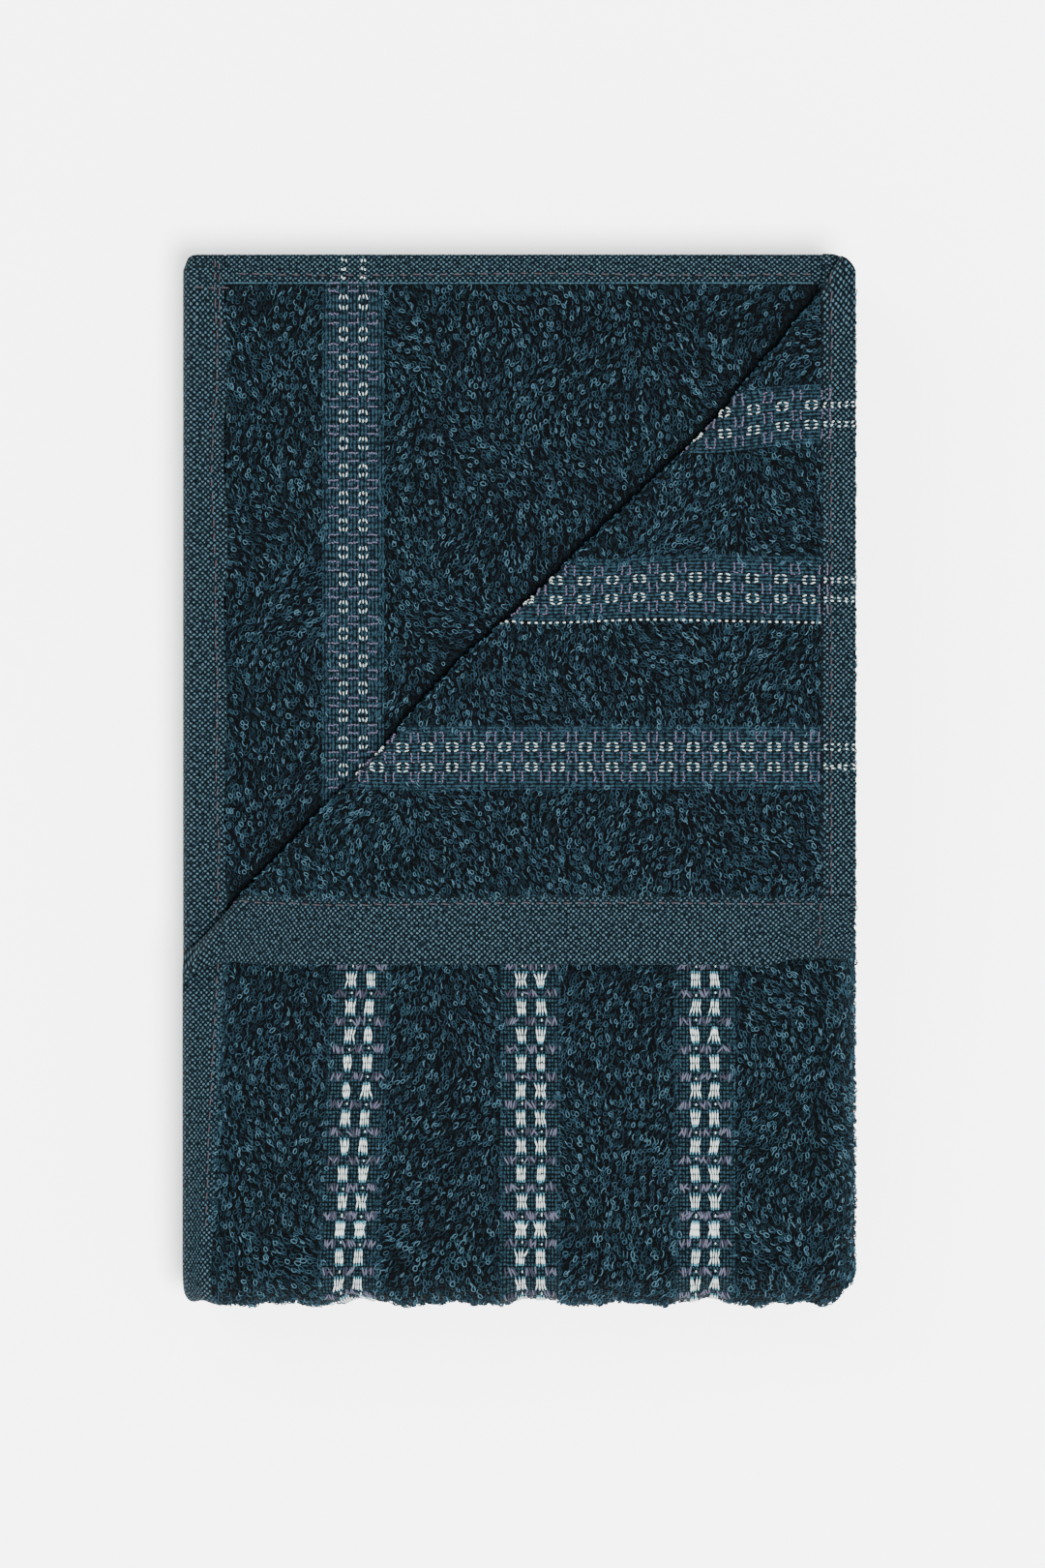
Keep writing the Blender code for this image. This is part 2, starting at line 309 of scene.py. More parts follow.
def corner(x, y, off):
    """The top layer near and past the crease: x and y are its place when it is laid flat."""
    x, y, off = np.broadcast_arrays(np.asarray(x, float), np.asarray(y, float), np.asarray(off, float))
    d = from_crease(x, y)
    q = (x + y) / ROOT
    angle = np.clip(d / ROLL, 0, math.pi)
    past = np.maximum(d - math.pi * ROLL, 0)
    flat_height = FLAP_LOW - TOP
    sink = (2 * ROLL - flat_height) * smooth(past, 0, 15)
    out = np.where(d < 0, d, (ROLL - off) * np.sin(angle) - past)
    z = TOP + ROLL - (ROLL - off) * np.cos(angle) - sink
    back = crease_back(q) * smooth(out, -24, 1.0)
    turn = smooth(q, -88, 139)
    px = (q - out) / ROOT - CREASE_IN / 2 + back * ROOT * (1 - turn)
    py = (q + out) / ROOT + CREASE_IN / 2 - back * ROOT * turn
    over = smooth(past, 0, 20)
    # The end hem slopes down to its left end, is lifted at its right end, and drawn in below that
    outer = np.clip((FLAP_HEM_Y - py) / (FLAP_HEM_Y - FLAP_END_Y), 0, 1.2)
    py = py - outer * 4.5 * smooth(-px, 68, 82) * smooth(d, 2.8, 5.0)
    py = py + outer * (2.1 * smooth(px, 58, 67) + 1.0 * (1 - smooth(px, -60, 20)))
    px = px - 1.2 * smooth(px, 68, RIGHT) * smooth(-py, 30, 42)
    # The rest has stretched a little, and lies in slow waves
    py = py + over * 0.011 * (py - 30)
    py = py - over * 1.1 * smooth(px, 20, 80) * smooth(py, 10, 50) * (1 - smooth(py, 90, 120))
    py = py + over * 0.7 * np.sin((px + 30) / 33.0) * (1 - smooth(py, -42, -10))
    z = z + over * 0.35 * np.sin(px / 17.0 + py / 23.0) ** 2
    # Past the pack's sides the cloth hangs down, rounded at its corners
    cx, cy = RIGHT + FLAP_OUT - TIP_ROUNDING, FAR + OUT_FAR - TIP_ROUNDING
    u, v, out = held_in(px, py, cx, cy, 1, TIP_ROUNDING)
    px, py, z = np.minimum(px, cx) + u, np.minimum(py, cy) + v, z - HANG * out
    cx, cy = RIGHT + FLAP_OUT - END_ROUNDING, -40.2
    u, v, _ = held_in(px, py, cx, cy, -1, END_ROUNDING)
    on = (u > 0) & (v > 0)
    px, py = np.where(on, cx + u, px), np.where(on, cy - v, py)
    out = np.maximum(LEFT + 0.5 - px, 0)
    return np.stack([px + 0.85 * out, py, z - HANG * out], -1)


def corner_back(x, y, off):
    return corner(x, y, -off)


def cloth_back(s, b, off):
    return cloth(s, b, -off)


# ---------------------------------------------------------------- meshes
def add_mesh(name, points, faces, materials, index=None, cloth_at=None, outward=False):
    """One mesh object from arrays of points (mm) and of faces with equal numbers of corners.

    cloth_at is each point's cloth coordinates, for the weave; outward turns all faces outward.
    """
    mesh = bpy.data.meshes.new(name)
    count, sides = faces.shape
    mesh.vertices.add(len(points))
    mesh.vertices.foreach_set("co", (points / MM).astype(np.float32).ravel())
    mesh.loops.add(count * sides)
    mesh.loops.foreach_set("vertex_index", faces.astype(np.int32).ravel())
    mesh.polygons.add(count)
    mesh.polygons.foreach_set("loop_start", np.arange(0, count * sides, sides, dtype=np.int32))
    if index is not None:
        mesh.polygons.foreach_set("material_index", np.asarray(index, np.int32))
    mesh.update(calc_edges=True)
    if cloth_at is not None:
        layer = mesh.attributes.new("cloth", "FLOAT_VECTOR", "POINT")
        layer.data.foreach_set("vector", cloth_at.astype(np.float32).ravel())
    if outward:
        bm = bmesh.new()
        bm.from_mesh(mesh)
        bmesh.ops.recalc_face_normals(bm, faces=bm.faces)
        bm.to_mesh(mesh)
        bm.free()
    mesh.shade_smooth()
    for surface in materials:
        mesh.materials.append(surface)
    piece = bpy.data.objects.new(name, mesh)
    bpy.context.scene.collection.objects.link(piece)
    return piece


def sheet_mesh(name, chart, a, b, thick, materials, zone=None):
    """A closed sheet over a grid of cloth coordinates a and b (both m by n), with its flat size and area.

    Where zone(a) holds, its front takes the second material and its back the third.
    """
    m, n = a.shape
    top, low = chart(a, b, thick / 2), chart(a, b, -thick / 2)
    points = np.concatenate([top.reshape(-1, 3), low.reshape(-1, 3)])
    ids = np.arange(m * n).reshape(m, n)
    quads = np.stack([ids[:-1, :-1], ids[1:, :-1], ids[1:, 1:], ids[:-1, 1:]], -1).reshape(-1, 4)
    under = quads[:, ::-1] + m * n
    ring = np.concatenate([ids[0, :], ids[1:, -1], ids[-1, -2::-1], ids[-2:0:-1, 0]])
    after = np.roll(ring, -1)
    rim = np.stack([ring, after, after + m * n, ring + m * n], -1)
    faces = np.concatenate([quads, under, rim])
    flat = np.stack([a, b, np.zeros_like(a)], -1).reshape(-1, 3)
    index = None
    if zone is not None:
        middle = zone((a[:-1, :-1] + a[1:, 1:]) / 2).astype(int).ravel()
        index = np.concatenate([middle, 2 * middle, np.zeros(len(rim), int)])
    middle_at = (top + low) / 2
    across_a, across_b = np.diff(middle_at, axis=0), np.diff(middle_at, axis=1)
    area = np.linalg.norm(np.cross(across_a[:, :-1], across_b[:-1]), axis=-1).sum()
    long_a = np.linalg.norm(across_a, axis=-1).sum(0).max()
    long_b = np.linalg.norm(across_b, axis=-1).sum(1).max()
    piece = add_mesh(name, points, faces, materials, index, np.concatenate([flat, flat]),
                     outward=True)
    return piece, (long_a / MM, long_b / MM), min(area, long_a * long_b) / MM**2


def tubes(name, centres, radii, side_axis, closed, sides, materials, index):
    """Many yarns in one mesh: centres (n, k, 3), radii (n, k), one side direction (n, 3) for each."""
    n, k, _ = centres.shape
    if closed:
        tangent = np.roll(centres, -1, 1) - np.roll(centres, 1, 1)
    else:
        tangent = np.gradient(centres, axis=1)
    tangent /= np.linalg.norm(tangent, axis=2, keepdims=True) + 1e-9
    across = np.cross(tangent, side_axis[:, None, :])
    across /= np.linalg.norm(across, axis=2, keepdims=True) + 1e-9
    up = np.cross(across, tangent)
    turn = 2 * math.pi * np.arange(sides) / sides
    ring = (across[:, :, None, :] * np.cos(turn)[None, None, :, None]
            + up[:, :, None, :] * np.sin(turn)[None, None, :, None])
    points = centres[:, :, None, :] + ring * radii[:, :, None, None]
    ids = np.arange(k * sides).reshape(k, sides)
    beside = np.roll(ids, -1, 1)
    rows = np.arange(k) if closed else np.arange(k - 1)
    after = (rows + 1) % k
    faces = np.stack([ids[rows], beside[rows], beside[after], ids[after]], -1).reshape(-1, 4)
    a = points[0].reshape(-1, 3)[faces]
    volume = np.einsum("ij,ij->i", a[:, 0] - points[0].mean((0, 1)),
                       np.cross(a[:, 1] - a[:, 0], a[:, 2] - a[:, 0]))
    if volume.sum() < 0:
        faces = faces[:, ::-1]
    faces = (faces[None] + (np.arange(n) * k * sides)[:, None, None]).reshape(-1, 4)
    return add_mesh(name, points.reshape(-1, 3), faces, materials, np.repeat(index, len(faces) // n))


def local_axes(chart, a, b):
    """Points on a chart with the directions of a, b and off there."""
    step = 0.3
    p = chart(a, b, 0.0)
    along_a = chart(a + step, b, 0.0) - chart(a - step, b, 0.0)
    along_b = chart(a, b + step, 0.0) - chart(a, b - step, 0.0)
    normal = chart(a, b, 0.5) - chart(a, b, -0.5)
    unit = [v / (np.linalg.norm(v, axis=-1, keepdims=True) + 1e-9) for v in (along_a, along_b, normal)]
    return p, *unit


# Ten slow waves over the cloth, none shorter than about 34 mm along either direction
WAVES = rng.uniform(-1, 1, (10, 2)) * 2 * math.pi / 34
PHASES = rng.uniform(0, 2 * math.pi, 10)


def drift(a, b):
    """A slowly changing number, about -1 to 1, over the cloth."""
    total = sum(np.sin(a * w[0] + b * w[1] + p) for w, p in zip(WAVES, PHASES))
    return total / 3.2


def scatter(a0, a1, b0, b1, pitch, keep):
    """Jittered places in rows that fill a0 to a1 and b0 to b1, where keep(a, b) holds."""
    rows, columns = round((b1 - b0) / (pitch * 0.94)), round((a1 - a0) / pitch)
    a, b = np.meshgrid(np.arange(columns) + 0.5, np.arange(rows) + 0.5)
    a = a + 0.5 * (b.astype(int) % 2) - 0.25 + rng.uniform(-0.4, 0.4, a.shape)
    b = b + rng.uniform(-0.4, 0.4, b.shape)
    a, b = (a0 + a * (a1 - a0) / columns).ravel(), (b0 + b * (b1 - b0) / rows).ravel()
    on = keep(a, b)
    return a[on], b[on]


LOOP_LENGTH, LOOP_WIDTH, YARN_RADIUS = (1.15, 1.8), (0.85, 1.2), (0.14, 0.18)
TONE_SHARES = [0.26, 0.34, 0.26, 0.14]  # of the pile's four tones, from deep to bright
CREASE_SHADE_SIZE = 0.8  # loops up to this size lie in a crease's shade and take the deepest tone: painted shade
MOST_TRIANGLES = 190000  # in one mesh


def pile(name, chart, a, b, heading, size=1.0, segments=8, wander=0.8):
    """Loops of pile at places on a chart, leaning towards heading (radians from a to b)."""
    pieces = []
    sides = 3
    most = MOST_TRIANGLES // (segments * sides * 2)
    order = np.arange(len(a))
    for part, chosen in enumerate(np.array_split(order, max(1, math.ceil(len(a) / most)))):
        aa, bb = a[chosen], b[chosen]
        n = len(aa)
        p, ta, tb, normal = local_axes(chart, aa, bb)
        way = heading + wander * drift(aa, bb) + rng.normal(0, 0.35, n)
        scale = np.broadcast_to(size, len(a))[chosen]
        lean = ta * np.cos(way)[:, None] + tb * np.sin(way)[:, None]
        tilt = rng.uniform(0.15, 0.8, n)[:, None]
        e1 = lean * np.cos(tilt) + normal * np.sin(tilt)
        e1 /= np.linalg.norm(e1, axis=1, keepdims=True)
        e2 = np.cross(normal, e1)
        e2 /= np.linalg.norm(e2, axis=1, keepdims=True)
        e3 = np.cross(e1, e2)
        twist = rng.normal(0, 0.75, n)[:, None]
        wide = e2 * np.cos(twist) + e3 * np.sin(twist)
        flat = np.cross(e1, wide)
        length = (scale * rng.uniform(*LOOP_LENGTH, n))[:, None]
        width = (scale * rng.uniform(*LOOP_WIDTH, n))[:, None]
        phi = np.linspace(0, 2 * math.pi, segments, endpoint=False)[None, :]
        out = (1 - np.cos(phi)) / 2
        bow = np.sin(phi) * (0.62 + 0.38 * out)
        base = p + normal * (GROUND / 2 - 0.05)
        centre = (base[:, None] + e1[:, None] * (length * out)[..., None]
                  + wide[:, None] * (width / 2 * bow)[..., None]
                  - normal[:, None] * (0.35 * length * out**2)[..., None]
                  + flat[:, None] * (rng.normal(0, 0.16, (n, 1)) * bow)[..., None])
        radius = np.repeat((scale * rng.uniform(*YARN_RADIUS, n))[:, None], segments, 1)
        # Loops made small by a crease take the deepest tone: painted shade
        tone = rng.choice(4, n, p=TONE_SHARES) * (scale > CREASE_SHADE_SIZE)
        label = name if len(order) <= most else f"{name}_{part + 1}"
        pieces.append(tubes(label, centre, radius, flat, True, sides, PILE, tone))
    return pieces


def dashes(name, chart, rows, materials, sides=6, rings=6):
    """Short floats of yarn. rows holds seven arrays: a, b, angle, length, width, height and tone."""
    a, b, angle, length, width, height, tone = (np.asarray(v, float) for v in rows)
    t = np.linspace(-1, 1, rings)[None, :]
    aa = a[:, None] + np.cos(angle)[:, None] * length[:, None] / 2 * t
    bb = b[:, None] + np.sin(angle)[:, None] * length[:, None] / 2 * t
    arch = height[:, None] * (1 - t**4) + 0.1
    centres = chart(aa, bb, arch)
    radii = width[:, None] / 2 * np.sqrt(np.clip(1.02 - t**4, 0.02, 1))
    _, _, _, normal = local_axes(chart, a, b)
    return tubes(name, centres, radii, normal, False, sides, materials, tone.astype(int))


# ---------------------------------------------------------------- materials
DIM = 0.22  # the studio is bright enough to whiten the floor, so cloth colours are this much darker
COTTON_SHEEN = 0.01


def linear(red, green, blue):
    """An sRGB colour, 0 to 255, as a linear one under this studio's light."""
    return tuple(DIM * ((c / 255 + 0.055) / 1.055) ** 2.4 for c in (red, green, blue))


def base_material(name, rough, sheen):
    found = bpy.data.materials.new(name)
    found.use_nodes = True
    tree = found.node_tree
    shader = tree.nodes["Principled BSDF"]
    shader.inputs["Roughness"].default_value = rough
    shader.inputs["Sheen Weight"].default_value = sheen
    shader.inputs["Sheen Roughness"].default_value = 0.4
    shader.inputs["Sheen Tint"].default_value = (0.5, 0.75, 0.85, 1)
    shader.inputs["Specular IOR Level"].default_value = 0.04
    return found, tree, shader


def link_bump(tree, shader, height, strength, distance):
    bump = tree.nodes.new("ShaderNodeBump")
    bump.inputs["Strength"].default_value = strength
    bump.inputs["Distance"].default_value = distance
    tree.links.new(height, bump.inputs["Height"])
    tree.links.new(bump.outputs["Normal"], shader.inputs["Normal"])


def yarn(name, colour, rough=0.75):
    """Spun cotton: one colour, with the fine fuzz of its fibres as bump."""
    found, tree, shader = base_material(name, rough, COTTON_SHEEN)
    shader.inputs["Base Color"].default_value = (*colour, 1)
    place_at = tree.nodes.new("ShaderNodeTexCoord")
    noise = tree.nodes.new("ShaderNodeTexNoise")
    noise.inputs["Scale"].default_value = 5200
    noise.inputs["Detail"].default_value = 2
    tree.links.new(place_at.outputs["Object"], noise.inputs["Vector"])
    link_bump(tree, shader, noise.outputs["Fac"], 0.5, 0.0001)
    return found


def math_node(tree, operation, first, second=None, third=None):
    made = tree.nodes.new("ShaderNodeMath")
    made.operation = operation
    for socket, value in zip(made.inputs, (first, second, third)):
        if value is None:
            continue
        if isinstance(value, (int, float)):
            socket.default_value = value
        else:
            tree.links.new(value, socket)
    return made.outputs[0]


def woven(name, dark, mid, light, pitch_a, pitch_b, contrast=0.6, wobble=0.35, diagonal=False, soft_b=0.0):
    """A plain weave in cloth coordinates: small pills of yarn with dark gaps between them, the gaps' darkness being
    painted shade.

    wobble is how far the yarns stray, soft_b how much the gaps across b close up.
    """
    found, tree, shader = base_material(name, 0.85, COTTON_SHEEN)
    where = tree.nodes.new("ShaderNodeAttribute")
    where.attribute_name = "cloth"
    shake = tree.nodes.new("ShaderNodeTexNoise")
    shake.inputs["Scale"].default_value = 0.7
    shake.inputs["Detail"].default_value = 2
    tree.links.new(where.outputs["Vector"], shake.inputs["Vector"])
    split = tree.nodes.new("ShaderNodeSeparateXYZ")
    tree.links.new(where.outputs["Vector"], split.inputs[0])
    tint = tree.nodes.new("ShaderNodeSeparateColor")
    tree.links.new(shake.outputs["Color"], tint.inputs[0])
    waves = []
    along = [split.outputs[0], split.outputs[1]]
    if diagonal:
        along = [math_node(tree, "ADD", *along), math_node(tree, "SUBTRACT", *along)]
    for axis, pitch in ((0, pitch_a), (1, pitch_b)):
        moved = math_node(tree, "MULTIPLY_ADD", tint.outputs[axis], wobble, along[axis])
        wave = math_node(tree, "SINE", math_node(tree, "MULTIPLY", moved, math.pi / pitch))
        wave = math_node(tree, "ABSOLUTE", wave)
        if axis == 1 and soft_b:
            wave = math_node(tree, "MULTIPLY_ADD", wave, 1 - soft_b, soft_b)
        waves.append(wave)
    height = math_node(tree, "POWER", math_node(tree, "MULTIPLY", waves[0], waves[1]), contrast)
    fine = tree.nodes.new("ShaderNodeTexNoise")
    fine.inputs["Scale"].default_value = 1.2
    fine.inputs["Detail"].default_value = 3
    tree.links.new(where.outputs["Vector"], fine.inputs["Vector"])
    patchy = math_node(tree, "MULTIPLY_ADD", fine.outputs["Fac"], 3.4, -0.7)
    level = math_node(tree, "MULTIPLY", height, patchy)
    # The colour follows the weave's height and is darkest in the gaps: painted shade
    ramp = tree.nodes.new("ShaderNodeValToRGB")
    first, last = ramp.color_ramp.elements
    first.position, first.color = 0.15, (*dark, 1)
    last.position, last.color = 0.95, (*light, 1)
    ramp.color_ramp.elements.new(0.55).color = (*mid, 1)
    tree.links.new(level, ramp.inputs["Fac"])
    tree.links.new(ramp.outputs["Color"], shader.inputs["Base Color"])
    link_bump(tree, shader, level, 1.0, 0.0004)
    return found


PILE = [
    yarn("pile_deep", linear(20, 41, 52)),
    yarn("pile_mid", linear(38, 68, 83)),
    yarn("pile_light", linear(56, 92, 110)),
    yarn("pile_bright", linear(88, 130, 150)),
]
# The ground between the loops is near black: painted shade among the pile, not the yarn's own colour
shaded_ground = woven("ground_weave", linear(1, 3, 5), linear(3, 8, 12), linear(5, 15, 21), 0.9, 0.9)
band_weave = woven("band_weave", linear(1, 4, 7), linear(15, 33, 43), linear(54, 90, 104), 0.8, 0.95,
                   wobble=0.4)
band_under = woven("band_under", linear(1, 4, 7), linear(16, 32, 42), linear(54, 88, 104), 0.85, 1.7,
                   wobble=0.4, soft_b=0.4)
hem_weave = woven("hem_weave", linear(2, 6, 9), linear(28, 51, 63), linear(98, 136, 152), 1.28, 1.28,
                  contrast=0.85, wobble=0.6, diagonal=True)
TERRY = [shaded_ground, band_weave, band_under]
mint = yarn("mint_yarn", [1.4 * c for c in linear(238, 251, 247)], 0.6)
# The float's tips are a darker blue: painted shade where the float dips into the cloth
mint_shaded_tip = yarn("mint_shaded_tip", linear(110, 186, 208), 0.7)
slate = yarn("slate_yarn", linear(116, 118, 140), 0.75)
slate_deep = yarn("slate_deep", linear(70, 72, 88), 0.75)
lilac = yarn("lilac_yarn", linear(126, 120, 148), 0.75)
thread = yarn("thread", linear(88, 80, 88), 0.6)
# Near-black yarn for painted shade: the seam's groove under the stitches, and the line where the corner's side hem
# meets the pile
seam_shadow = yarn("seam_shade", linear(14, 18, 24), 0.8)
cord = yarn("hem_cord", linear(64, 104, 120), 0.8)


# ---------------------------------------------------------------- ground cloth
def spread(low, high, step, *marks):
    """Even places from low to high, and exact ones at the marks."""
    count = max(2, int(round((high - low) / step)) + 1)
    even = np.linspace(low, high, count)
    inside = [m for m in marks if low < m < high]
    for m in inside:
        even[np.argmin(np.abs(even - m))] = m
    return np.unique(even)


FLAT_END = FAR - SIDE_HEM - START  # b where the terry ends and the side hem starts
FULL_END = FAR - START
LOWER_FLAT_END, LOWER_FULL_END = B_LOWER - FLAT_END, B_LOWER - FULL_END  # the same on the lower half
band_edges = [band - HEM_INNER + side * BAND_HALF for band in BANDS for side in (-1, 1)]
band_b_s = AT["L2"][0] + (RIGHT_TURN - BAND_B)
band_edges += [band_b_s - BAND_HALF, band_b_s + BAND_HALF]
sheets = {}


def in_band(s, half=BAND_HALF):
    """Whether s is in one of the flat woven bands."""
    x, _, _, _ = section(s)
    s = np.asarray(s)
    first = np.zeros(s.shape, bool)
    for band in BANDS:
        first |= (s < AT["L1"][1]) & (np.abs(x - band) < half)
    return first | (np.abs(s - band_b_s) < half)


def lay(piece, body=None, blend=None, nodes=(), slot="terry", on=None):
    """Rides a piece with its body, or with a blend bakes its place into its mesh, and notes which cloth it belongs
    to.
    """
    if blend:
        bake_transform(piece)
    else:
        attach(piece, body)
    if nodes:
        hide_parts(*nodes)
    if on:
        sheets[on][3].append(piece)


def declare(made, rests_on, **how):
    """Lays a sheet of cloth, and keeps its flat size."""
    piece, size, area = made
    lay(piece, **how)
    sheets[piece.name] = (size, area, rests_on, [])


def trim(made, on, **how):
    lay(made[0], on=on, **how)


def hem_piece(name, chart, a, b, on, thick=HEM, **how):
    trim(sheet_mesh(name, chart, a, b, thick, [hem_weave]), on, slot="plain_weave", **how)


def grid(a, b0, b1, rows):
    """Cloth coordinates: columns at a, each with evenly spaced rows from b0 to b1 there."""
    t = np.linspace(0, 1, rows)[None, :]
    low = np.broadcast_to(b0, a.shape)[:, None]
    high = np.broadcast_to(b1, a.shape)[:, None]
    return np.broadcast_to(a[:, None], (len(a), rows)).copy(), low + (high - low) * t


def crease_b(x):
    """b where the top layer reaches the start of the crease's bend."""
    return x + CREASE_IN - START - CREASE_LEAD


# Columns 2 mm apart on the flat layers and 0.9 mm apart in the bends
s_all = [spread(*AT[part], 2.0 if part[0] == "L" else 0.9, *band_edges) for part, _ in PATH]
s_all = np.unique(np.round(np.concatenate(s_all), 5))
x_all = section(s_all)[0]
# The crease ends the top layer; beyond its right end the cloth runs to the side hem
upper_end = np.where(s_all < AT["L1"][1], np.minimum(crease_b(x_all), FLAT_END), FLAT_END)
a, b = grid(s_all, 0.0, upper_end, 70)
half_nodes = [f"panel_{i}" for i in range(1, 7)] + [f"right_fold_{i}" for i in (1, 2, 3)]
half_nodes += ["left_fold_1", "left_fold_2"]
declare(sheet_mesh("upper_cloth", cloth, a, b, GROUND, TERRY, in_band), ["lower_cloth"], body="upper_half",
        nodes=[f"upper_{n}" for n in half_nodes])
a, b = grid(s_all, LOWER_FLAT_END, B_LOWER, 40)
declare(sheet_mesh("lower_cloth", cloth, a, b, GROUND, TERRY, in_band), ["floor"], body="lower_half",
        nodes=[f"lower_{n}" for n in half_nodes])

ring_mid = sum(AT["R1"]) / 2
ring2_mid = sum(AT["R2"]) / 2
HINGE_Y = joints["half_open"]["pos_m"][1]


def half_blend(reach):
    low, high = ((0, HINGE_Y, (MIDDLE + shift) / MM) for shift in (-reach, reach))
    return ("lower_half", "upper_half", low, high)


# The half fold's six bends: name, first and last s, reach of the blend, and the CAD node's number
turn_parts = [("turn_1", 0.0, ring_mid, 8.0, 1), ("turn_6", ring_mid, AT["T1"][1], 1.2, 6),
              ("turn_3", AT["L3"][0], AT["R3"][1], 6.0, 3), ("turn_4", AT["L4"][0], AT["T2"][1], 3.2, 4),
              ("turn_5", AT["L5"][0], ring2_mid, 3.2, 5), ("turn_2", ring2_mid, AT["L2"][1], 8.0, 2)]
for name, s0, s1, reach, number in turn_parts:
    columns = np.unique(np.concatenate([[s0], s_all[(s_all > s0) & (s_all < s1)], [s1]]))
    a, b = grid(columns, B_LOWER, 0.0, 49)
    made = sheet_mesh(name, cloth, a, b, GROUND, TERRY, in_band)
    how = {"blend": half_blend(reach), "nodes": [f"half_fold_{number}"]}
    if number == 6:  # its cloth is too narrow to declare as a sheet, so it goes with turn_1
        trim(made, "turn_1", **how)
    else:
        declare(made, ["lower_cloth"], **how)

# Side hems of all layers, seen from the far side; on the upper half, all but the turned back layer's
s_hem = s_all[s_all >= AT["R1"][0]]
a, b = grid(s_hem, FLAT_END, FULL_END, 9)
hem_piece("side_hem_upper", cloth, a, b, "upper_cloth", body="upper_half",
          nodes=["upper_side_hem_b"])
a, b = grid(s_all, LOWER_FULL_END, LOWER_FLAT_END, 9)
hem_piece("side_hem_lower", cloth, a, b, "lower_cloth", body="lower_half")

# End hems
HEM_LONG = HEM_INNER - LEFT + HEM_DROP
t_hem = spread(0.0, HEM_LONG, 0.6)
for hem, chart, reach, turn in (("a", hem_a, 8.5, "turn_1"), ("b", hem_b, 5.5, "turn_2")):
    end = crease_b(HEM_INNER - np.minimum(t_hem, HEM_FLAT)) if hem == "a" else FULL_END
    a, b = grid(t_hem, 0.0, end, 60)
    hem_piece(f"end_hem_{hem}_upper", chart, a, b, "upper_cloth", body="upper_half",
              nodes=[f"upper_end_hem_{hem}"])
    a, b = grid(t_hem, LOWER_FULL_END, B_LOWER, 40)
    hem_piece(f"end_hem_{hem}_lower", chart, a, b, "lower_cloth", body="lower_half",
              nodes=[f"lower_end_hem_{hem}"])
    a, b = grid(t_hem, B_LOWER, 0.0, 49)
    hem_piece(f"end_hem_{hem}_turn", chart, a, b, turn, blend=half_blend(reach))


def tab(t, b, off):
    """Where the side hem crosses end hem B it is folded over, and shows as a small tab."""
    return hem_b(t, b, off + HEM * 0.55)


a, b = grid(np.linspace(-2.2, 1.0, 7), 117.6 - START, FULL_END - 3.2, 7)
hem_piece("hem_tab", tab, a, b, "upper_cloth", HEM * 0.6, body="upper_half")

# The turned back corner: terry, end hem and side hem
crease_y = joints["corner_fold"]["pos_m"][1]
corner_blend = ("upper_half", "corner_flap", (0, crease_y, (TOP + 0.7) / MM),
                (0, crease_y, (FLAP_LOW - 0.9) / MM))
HEM_X = FLAP_HEM_Y - CREASE_MEAN  # the end hem's inner edge on the corner, laid flat
HEM_Y = SIDE_EDGE - SIDE_HEM


def corner_grid(x0, x1, y1, columns, rows, y0=-np.inf):
    """Places past the crease's start, laid flat, from x0 to x1 and from y0 up to y1."""
    x = np.linspace(x0, x1, columns)
    return grid(x, np.maximum(x + CREASE_IN - CREASE_LEAD, y0), y1, rows)


def corner_zone(x, half=BAND_HALF):
    """Whether x is in a band of the corner."""
    return sum(np.abs(x - band) < half for band in BANDS) > 0


a, b = corner_grid(HEM_X, HEM_Y - CREASE_IN + 2.2, HEM_Y, 130, 150)
declare(sheet_mesh("corner_cloth", corner, a, b, GROUND, TERRY, corner_zone), ["upper_cloth"],
        blend=corner_blend, nodes=["flap_panel"])
a, b = corner_grid(END_EDGE, HEM_X, SIDE_EDGE, 26, 220)
hem_piece("corner_end_hem", corner, a, b, "corner_cloth", blend=corner_blend,
          nodes=["flap_end_hem"])


def block(x, y, off):
    """The crossing of end hem and side hem, which lies on both."""
    return corner_back(x, y, off + HEM * 0.5)


a, b = grid(np.linspace(END_EDGE + 1.2, HEM_X + 0.5, 16), HEM_Y, SIDE_EDGE - 1.0, 10)
hem_piece("corner_block", block, a, b, "corner_cloth", HEM * 0.7, blend=corner_blend,
          nodes=["flap_hem_corner"])
a, b = corner_grid(HEM_X, SIDE_EDGE - CREASE_IN + 2.2, SIDE_EDGE, 170, 14, y0=HEM_Y)
hem_piece("corner_side_hem", corner, a, b, "corner_cloth", blend=corner_blend,
          nodes=["flap_side_hem"])


# ---------------------------------------------------------------- pile
DOWN, UP = -math.pi / 2, math.pi / 2  # headings towards lower and higher b


def add_pile(on, pieces, **how):
    for piece in pieces:
        lay(piece, on=on, **how)


def ragged(a):
    """The pile's edge beside a band, a little different from loop to loop."""
    return PILE_EDGE + rng.uniform(-1.5, 0.3, np.shape(a))


def off_bands(s, b):
    return ~in_band(s, ragged(s))


def always(a, b):
    return np.ones(np.shape(a), bool)


def on_top(s, b):
    return off_bands(s, b) & (b < crease_b(section(s)[0]) + 1)


